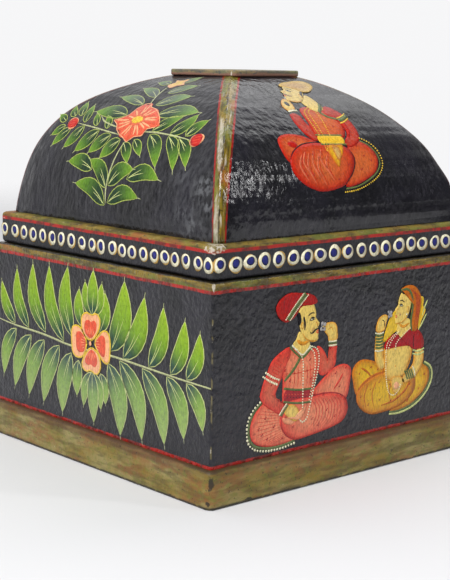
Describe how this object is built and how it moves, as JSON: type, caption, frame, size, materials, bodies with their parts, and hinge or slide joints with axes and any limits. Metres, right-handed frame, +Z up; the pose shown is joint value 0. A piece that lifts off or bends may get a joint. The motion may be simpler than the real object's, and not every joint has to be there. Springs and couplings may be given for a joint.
{
  "type": "painted papier mache box",
  "caption": "Square lacquered papier mache box on a moulded plinth, with a lift-off lid: a collar, a ledge and a mitred dome of curved panels under a small square cap.",
  "frame": {"origin": "centre of the box's underside, on the surface it stands on", "axes": "+Z up; -Y out of the front wall, +X out of the right wall"},
  "size_m": [0.2588, 0.2588, 0.2786],
  "materials": {
    "black_lacquer": "glossy hand-brushed black lacquer over papier mache, painted",
    "olive_lacquer": "worn olive-gold lacquer over gesso",
    "inner_lacquer": "plain satin dark red lacquer, inside and underneath"
  },
  "bodies": {
    "base": {"bottom_board": "inner_lacquer", "wall_front": "black_lacquer", "wall_right": "black_lacquer", "wall_back": "black_lacquer", "wall_left": "black_lacquer", "plinth_front": "olive_lacquer", "plinth_right": "olive_lacquer", "plinth_back": "olive_lacquer", "plinth_left": "olive_lacquer", "lip_front": "inner_lacquer", "lip_right": "inner_lacquer", "lip_back": "inner_lacquer", "lip_left": "inner_lacquer"},
    "lid": {"collar_front": "black_lacquer", "collar_right": "black_lacquer", "collar_back": "black_lacquer", "collar_left": "black_lacquer", "ledge_front": "olive_lacquer", "ledge_right": "olive_lacquer", "ledge_back": "olive_lacquer", "ledge_left": "olive_lacquer", "dome_panel_front": "black_lacquer", "dome_panel_right": "black_lacquer", "dome_panel_back": "black_lacquer", "dome_panel_left": "black_lacquer", "cap_plate": "olive_lacquer"}
  },
  "joints": [
    {"name": "lid_lift", "type": "slide", "parent": "base", "child": "lid", "axis": [0, 0, 1], "range_m": [0, 0.12]}
  ]
}
